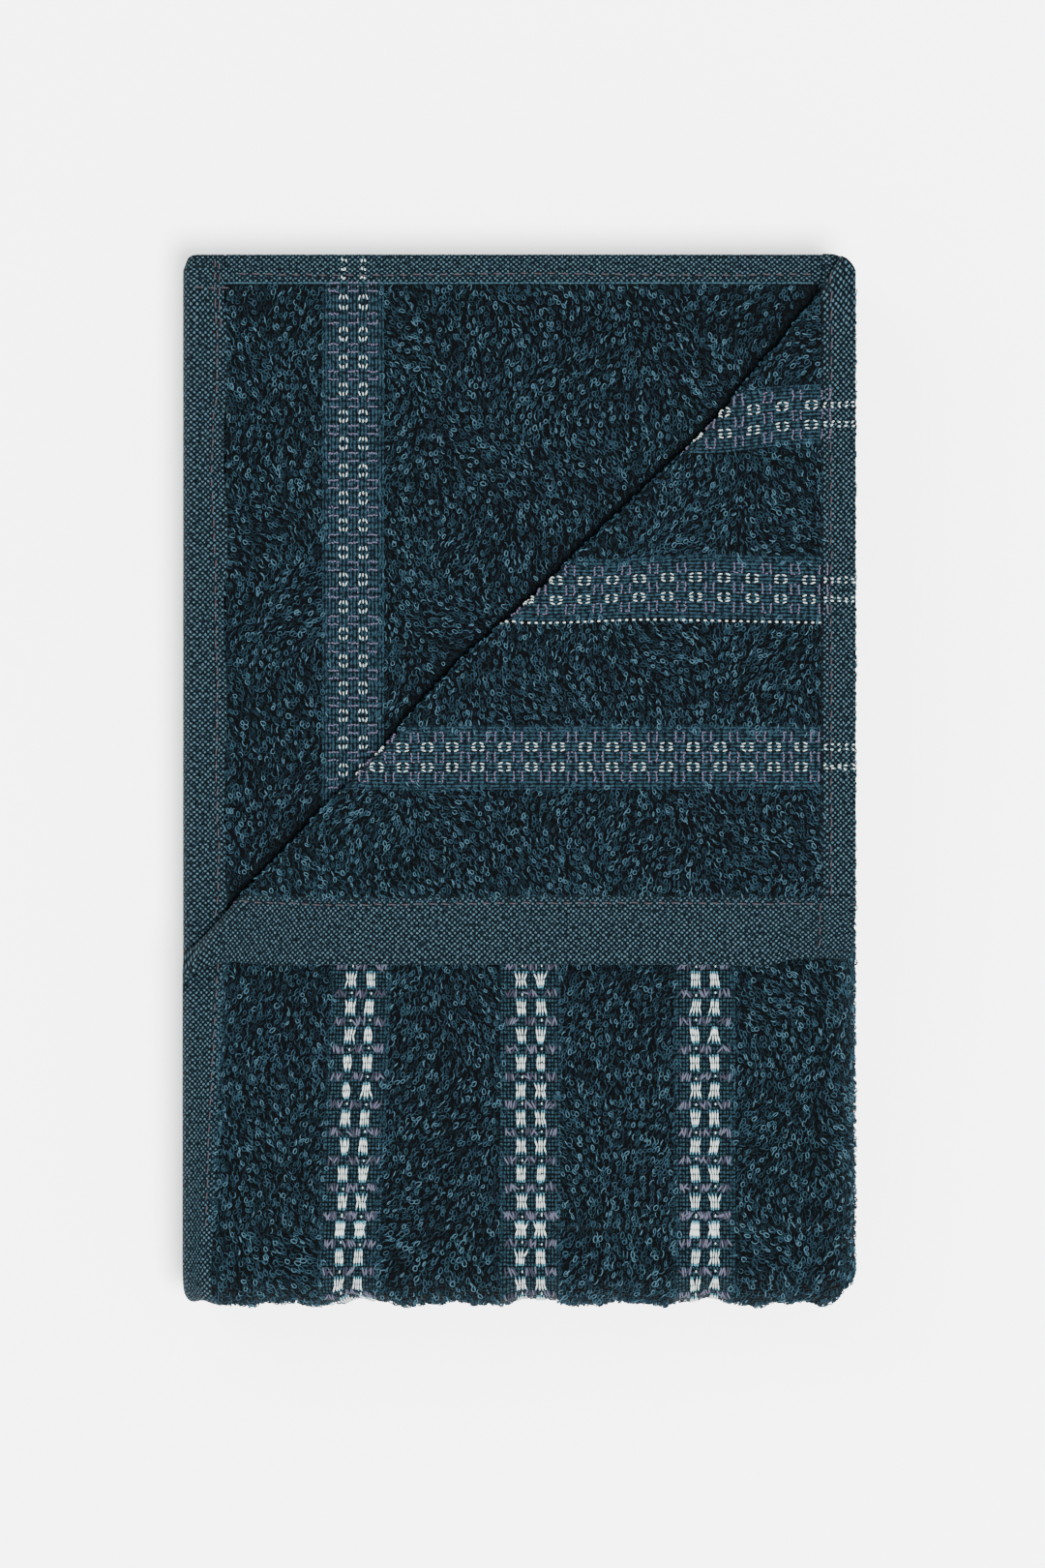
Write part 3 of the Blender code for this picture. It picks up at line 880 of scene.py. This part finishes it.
s1 = AT["L1"][1]  # where the top layer starts its bend at the right side
a, b = scatter(0.2, s1, 0.0, FLAT_END, 1.12, on_top)
add_pile("upper_cloth", pile("pile_top", cloth, a, b, DOWN - 0.15, wander=0.5), body="upper_half")
a, b = scatter(-0.7, 0.9, 0.0, crease_b(HEM_INNER) - 0.5, 0.8, always)
add_pile("upper_cloth", pile("pile_edge", cloth, a, b, math.pi + 0.7), body="upper_half")
a, b = scatter(s1, AT["R1"][1], 0.0, FLAT_END, 1.2, off_bands)
add_pile("upper_cloth", pile("pile_side_upper", cloth, a, b, DOWN, size=1.12), body="upper_half")
a, b = scatter(-0.3, ring_mid, B_LOWER, 0.0, 1.2, off_bands)
add_pile("turn_1", pile("pile_turn", cloth, a, b, DOWN, size=1.12), blend=half_blend(8.0))
a, b = scatter(ring_mid, AT["R1"][1] + 4, B_LOWER, 0.0, 1.25, off_bands)
add_pile("turn_1", pile("pile_turn_side", cloth, a, b, DOWN, size=1.12), blend=half_blend(1.2))
a, b = scatter(s1, AT["R1"][1], LOWER_FLAT_END, B_LOWER, 1.7, off_bands)
add_pile("lower_cloth", pile("pile_side_lower", cloth, a, b, UP, segments=7, size=1.3), body="lower_half")


def on_reveal(s, b):
    """Where layer 2's back shows beyond the crease, and a little way under it."""
    return off_bands(s, b) & (past_crease(section(s)[0], START + b) > -4)


a, b = scatter(AT["L2"][0], AT["L2"][1] + 0.3, 0.0, FLAT_END + 0.3, 1.14, on_reveal)
pressed_and_shaded = 0.55 + 0.45 * smooth(past_crease(section(a)[0], START + b), 0.8, 5)  # smaller by the crease; the smallest also take the deepest tone as painted shade
add_pile("upper_cloth", pile("pile_reveal", cloth_back, a, b, DOWN, size=pressed_and_shaded, wander=0.6),
         body="upper_half")


def on_corner(x, y):
    return ~corner_zone(x, ragged(x)) & (from_crease(x, y) > -0.5)


def on_corner_front(x, y):
    return ~corner_zone(x, ragged(x)) & (from_crease(x, y) > FOLDED_OVER)


a, b = scatter(HEM_X - 0.3, HEM_Y - CREASE_IN + 3, HEM_X + CREASE_IN - 4, HEM_Y + 0.3, 1.12, on_corner)
add_pile("corner_cloth", pile("pile_corner", corner_back, a, b, math.pi * 0.9, size=0.98), blend=corner_blend)
a, b = scatter(HEM_X + 0.6, HEM_Y - CREASE_IN, HEM_X + CREASE_IN, HEM_Y - 0.5, 1.8, on_corner_front)
add_pile("corner_cloth", pile("pile_corner_front", corner, a, b, DOWN, segments=7, size=1.4), body="corner_flap")
# Inside the half fold, at the left side and below, fewer and larger loops do
for half, b0, b1 in (("upper", 0.0, FLAT_END), ("lower", LOWER_FLAT_END, B_LOWER)):
    for place_name, stretch, pitch, segments, size in (("inside", "L6", 2.0, 6, 1.5), ("left", "T1", 1.9, 7, 1.35)):
        a, b = scatter(*AT[stretch], b0, b1, pitch, off_bands)
        loops = pile(f"pile_{place_name}_{half}", cloth, a, b, DOWN, size=size, segments=segments)
        add_pile(f"{half}_cloth", loops, body=f"{half}_half")
a, b = scatter(0.6, s1, LOWER_FLAT_END, B_LOWER, 2.0, off_bands)
add_pile("lower_cloth", pile("pile_bottom", cloth, a, b, UP, size=1.5, segments=6), body="lower_half")


# ---------------------------------------------------------------- woven dots
def beats(b0, b1, pitch, phase):
    """Places of a pattern's repeats between b0 and b1."""
    first, last = math.ceil((b0 - phase) / pitch), math.floor((b1 - phase) / pitch)
    return [phase + k * pitch for k in range(first, last + 1)]


# A mint float's white middle and its tip, darker blue as painted shade where it dips: place from the dot's middle,
# length, width, height and tone
FLOAT_PARTS = ((0.75, 1.75, 0.44, 0.95, 0), (1.72, 0.7, 0.36, 0.65, 1))


def dots_front(centre, b0, b1, keep, phase=0.0, pitch=DOT_PITCH):
    """Front of a band: tall mint floats in two columns, and slate floats between their rows."""
    rows, slates = [], []
    for at in beats(b0, b1, pitch, phase):
        for side in (-2.3, 2.3):
            middle = centre + side + rng.normal(0, 0.08)
            splay = rng.normal([0.05, 0.05], 0.09)
            skew = rng.normal(0, 0.05)
            for strand in range(4):
                for half in (-1, 1):
                    if not keep(middle, at):
                        continue
                    slope = half * (strand - 1.5) * splay[(half + 1) // 2] + skew + rng.normal(0, 0.06)
                    place_a = middle + (strand - 1.5) * 0.53
                    for shift, long, thick, high, tone in FLOAT_PARTS:
                        rows.append((place_a + math.sin(slope) * shift * half,
                                     at + shift * half + rng.normal(0, 0.08), math.pi / 2 - slope, long,
                                     thick * rng.uniform(0.75, 1.1), high, tone))
            if keep(centre + side, at + pitch / 2) and rng.random() < 0.85:
                rows.append((centre + side + 0.25, at + pitch / 2 + rng.normal(0, 0.2), math.pi / 2,
                             rng.uniform(0.35, 0.6), 0.36, 0.75, 0))
        for column in (-4.65, 0.0, 4.75):
            for strand in range(5):
                place_a = centre + column + (strand - 2) * 0.55 + rng.normal(0, 0.06)
                if keep(place_a, at + pitch / 2):
                    slates.append((place_a, at + pitch / 2 + rng.normal(0, 0.15),
                                   math.pi / 2 + rng.normal(0, 0.4), rng.uniform(1.9, 2.7), 0.46,
                                   rng.uniform(0.65, 0.95), rng.random() < 0.35))
    return rows, slates


def dots_back(centre, b0, b1, keep, phase=0.0, pitch=DOT_PITCH):
    """Back of a band: rings of six short mint floats, and pairs of dotted lilac lines between them."""
    rows, slates = [], []
    for at in beats(b0, b1, pitch, phase):
        for side in (-2.35, 2.35):
            for strand in (-1, 0, 1):
                for end in (-1, 1):
                    if keep(centre + side, at):
                        rows.append((centre + side + strand * 0.8 + rng.normal(0, 0.05),
                                     at + end * (0.95 if strand else 1.12) + rng.normal(0, 0.07),
                                     math.pi / 2 - strand * end * -0.3 + rng.normal(0, 0.1),
                                     rng.uniform(1.05, 1.35) if strand else rng.uniform(0.8, 1.0),
                                     rng.uniform(0.28, 0.37), 0.75, 0))
        for column in (-4.6, 0.0, 4.7):
            if not keep(centre + column, at + pitch / 2):
                continue
            for end in (-1, 1):
                for dot in range(4):
                    slates.append((centre + column + (dot - 1.5) * 0.62 + rng.normal(0, 0.05),
                                   at + pitch / 2 + end * 0.95 + rng.normal(0, 0.08),
                                   rng.normal(0, 0.5), rng.uniform(0.5, 0.75), rng.uniform(0.34, 0.44), 0.72, 0))
                if rng.random() < 0.6:
                    slates.append((centre + column + end * 1.1, at + pitch / 2 + rng.normal(0, 0.3),
                                   math.pi / 2, rng.uniform(0.5, 0.9), 0.34, 0.68, 0))
    return rows, slates


def dots_hem(centre, b0, b1, step):
    """Where a band runs on over a side hem: short mint dashes in its two rows."""
    rows = []
    for at in np.arange(b0, b1, step):
        for side in (-2.3, 2.3):
            for strand in (-0.42, 0.42):
                rows.append((centre + side + strand + rng.normal(0, 0.12), at + rng.normal(0, 0.12),
                             math.pi / 2 + rng.normal(0, 0.5), rng.uniform(0.5, 0.85), 0.42, HEM / 2 + 0.05, 0))
    return rows, []


def add_dots(name, on, chart, parts, slate_yarns, sides=6, **how):
    for index, (slot, yarns) in enumerate((("mint", [mint, mint_shaded_tip]), ("slate", slate_yarns))):
        rows = np.array([row for part in parts for row in part[index]]).T
        lay(dashes(f"{slot}_{name}", chart, rows, yarns, sides), slot=f"{slot}_yarn", on=on, **how)


def top_keep(s, b):
    return b < crease_b(s + HEM_INNER) + 1


FRONT, BACK_FACE = [slate, slate_deep], [lilac]
add_dots("top", "upper_cloth", cloth, [dots_front(x - HEM_INNER, 0.0, FLAT_END, top_keep) for x in BANDS], FRONT,
         body="upper_half")
add_dots("turn", "turn_1", cloth, [dots_front(x - HEM_INNER, B_LOWER, 0.0, always) for x in BANDS], FRONT,
         blend=half_blend(8.0))
add_dots("bottom", "lower_cloth", cloth,
         [dots_front(x - HEM_INNER, LOWER_FLAT_END, B_LOWER - 3, always) for x in BANDS], FRONT,
         sides=5, body="lower_half")
add_dots("reveal", "upper_cloth", cloth_back,
         [dots_back(band_b_s, 0.0, FLAT_END, lambda s, b: START + b > BAND_B + 30, 112.7 - START, 6.47),
          dots_hem(band_b_s, FLAT_END + 1.6, FULL_END, 2.5)], BACK_FACE, body="upper_half")


def corner_keep(x, y):
    return from_crease(x, y) > 1.0


def corner_front_keep(x, y):
    return from_crease(x, y) > FOLDED_OVER


# Each band's first ring and pitch on the corner's back: they lie a little further apart from band to band
BACK_REPEAT = ((110.3, 6.4), (112.2, 6.75), (112.7, 6.95))
# A dotted mint line runs beside the middle band
dotted = [(BANDS[1] - 7.9, y, math.pi / 2, 0.6, 0.5, 0.8, 0) for y in np.arange(-40, HEM_Y, 1.7)]
dotted = [row for row in dotted if row[1] - row[0] - CREASE_IN > 1.5]
corner_dots = [dots_back(x, -60.0, HEM_Y, corner_keep, *repeat) for x, repeat in zip(BANDS, BACK_REPEAT)]
corner_dots += [dots_hem(x, HEM_Y + 0.8, SIDE_EDGE, 1.65) for x in BANDS] + [(dotted, [])]
add_dots("corner", "corner_cloth", corner_back, corner_dots, BACK_FACE, blend=corner_blend)
add_dots("corner_front", "corner_cloth", corner,
         [dots_front(x, -60.0, HEM_Y, corner_front_keep, 1.5) for x in BANDS], FRONT, body="corner_flap")


# ---------------------------------------------------------------- stitches
STITCH = 3.2  # length of a lockstitch


def stitch_row(name, on, chart, a, b, height=HEM / 2, nodes=(), **how):
    """Lockstitches along a line of cloth coordinates a, b, each a little off it, over dark tubes that paint the
    shade of the seam's groove.
    """
    a, b = np.broadcast_arrays(np.asarray(a, float), np.asarray(b, float))
    length = np.concatenate([[0], np.cumsum(np.hypot(np.diff(a), np.diff(b)))])
    at = np.arange(STITCH / 2, length[-1], STITCH)
    aa, bb = np.interp(at, length, a), np.interp(at, length, b)
    angle = np.arctan2(np.gradient(bb), np.gradient(aa))
    n = len(at)

    def row(shift, turn, long, wide, high, tone):
        return np.stack([aa + shift * np.sin(angle), bb - shift * np.cos(angle), angle + turn, np.full(n, long),
                         np.full(n, wide), np.full(n, high), np.full(n, tone)], 1)

    # The second row is dark tubes beneath the stitches: painted shade of the seam's groove
    rows = np.concatenate([row(rng.normal(0, 0.06, n), rng.normal(0.08, 0.04, n), 2.6, 0.4, height - 0.08, 0),
                           row(0.3, 0.0, 3.3, 0.5, height - 0.25, 1)])
    lay(dashes(name, chart, rows.T, [thread, seam_shadow], rings=8), slot="sewing_thread", on=on, nodes=nodes, **how)


b_line = np.linspace(0, FULL_END, 90)
t_b = 2.4 + 0.5 * np.sin(b_line / 23.0) + 0.35 * np.sin(b_line / 9.0 + 1)
stitch_row("stitches_hem_b", "upper_cloth", hem_b, t_b, b_line, body="upper_half",
           nodes=["upper_end_hem_b_thread"])
stitch_row("stitches_hem_b_end", "upper_cloth", hem_b, 1.3, np.linspace(107 - START, FULL_END - 1, 20),
           body="upper_half")
stitch_row("stitches_hem_b_across", "upper_cloth", hem_b, np.linspace(-1.6, 9.5, 12), 115.8 - START,
           body="upper_half")
b_line = np.linspace(0, crease_b(HEM_INNER) - 1, 40)
stitch_row("stitches_hem_a", "upper_cloth", hem_a, 1.9 + 0.2 * np.sin(b_line / 17.0), b_line, body="upper_half",
           nodes=["upper_end_hem_a_thread"])
s_line = np.linspace(AT["L2"][0] + 1, AT["L2"][1] - 1, 60)
stitch_row("stitches_side_b", "upper_cloth", cloth_back, s_line, FLAT_END + 2.6 + 0.25 * np.sin(s_line / 13.0),
           body="upper_half", nodes=["upper_side_hem_b_thread"])
y_line = np.linspace(HEM_X + CREASE_IN + 2, SIDE_EDGE - 1, 90)
stitch_row("stitches_corner_end", "corner_cloth", corner_back, HEM_X - 1.6, y_line, blend=corner_blend,
           nodes=["flap_end_hem_thread"])
x_line = np.linspace(END_EDGE + 2.5, HEM_X, 12)
stitch_row("stitches_corner_block", "corner_cloth", corner_back, x_line, HEM_Y - 0.4, blend=corner_blend)
x_line = np.linspace(HEM_X, HEM_Y - CREASE_IN - 2, 80)
stitch_row("stitches_corner_side", "corner_cloth", corner_back, x_line, HEM_Y + 2.2, blend=corner_blend,
           nodes=["flap_side_hem_thread"])
# A dark tube painted as the shadow where the side hem meets the pile, and the raised edge of the one on the layer
# below
at = np.arange(HEM_X, HEM_Y - CREASE_IN - 2, 3.0)
rows = np.broadcast_arrays(at, HEM_Y + 0.1, 0, 3.2, 0.8, HEM / 2 - 0.3, 0)
lay(dashes("corner_hem_shadow", corner_back, rows, [seam_shadow]), slot="sewing_thread", on="corner_cloth",
    blend=corner_blend)
at = np.arange(AT["L2"][0] + 2, AT["L2"][1] + 1, 1.2)
rows = np.broadcast_arrays(at, FLAT_END + 0.35, rng.normal(0, 0.15, len(at)), 1.3, 0.4, HEM / 2 - 0.12, 0)
lay(dashes("hem_cord", cloth_back, rows, [cord]), slot="plain_weave", on="upper_cloth", body="upper_half")


# ---------------------------------------------------------------- floor, light, camera
FLOOR_DROP = 0.0004  # metres under the CAD's lowest face, where the lowest pile reaches


def floor():
    bm = bmesh.new()
    bmesh.ops.create_grid(bm, x_segments=1, y_segments=1, size=3.0)
    mesh = bpy.data.meshes.new("floor")
    bm.to_mesh(mesh)
    bm.free()
    piece = bpy.data.objects.new("floor", mesh)
    bpy.context.scene.collection.objects.link(piece)
    piece.location.z = -FLOOR_DROP
    found, _, shader = base_material("floor_white", 0.9, 0.0)
    shader.inputs["Base Color"].default_value = (0.95, 0.955, 0.96, 1)
    mesh.materials.append(found)


def area_light(name, place_at, size, power):
    """A round lamp that shines at the towel."""
    data = bpy.data.lights.new(name, "AREA")
    data.shape = "DISK"
    data.size = size
    data.energy = power
    lamp = bpy.data.objects.new(name, data)
    bpy.context.scene.collection.objects.link(lamp)
    lamp.location = place_at
    lamp.rotation_euler = (-Vector(place_at)).to_track_quat("-Z", "Y").to_euler()


floor()
area_light("key", (0.24, -0.26, 1.95), 0.5, 190)
area_light("fill", (-0.9, 0.8, 1.5), 0.9, 26)
world = bpy.data.worlds.new("studio")
world.use_nodes = True
sky = world.node_tree.nodes["Background"]
sky.inputs["Color"].default_value = (0.95, 0.97, 1.0, 1)
sky.inputs["Strength"].default_value = 1.65
bpy.context.scene.world = world

# Straight above the towel, in metres
FRAME_HEIGHT = 0.3726  # what the picture's height covers at the towel's top
DISTANCE = 1.6
SENSOR = 36
PICTURE_MIDDLE = (0.0010, -0.0007)
camera_data = bpy.data.cameras.new("camera")
camera_data.sensor_fit = "VERTICAL"
camera_data.sensor_height = SENSOR
camera_data.lens = SENSOR * DISTANCE / FRAME_HEIGHT
camera = bpy.data.objects.new("camera", camera_data)
bpy.context.scene.collection.objects.link(camera)
camera.location = (*PICTURE_MIDDLE, TOP / MM + DISTANCE)
bpy.context.scene.camera = camera
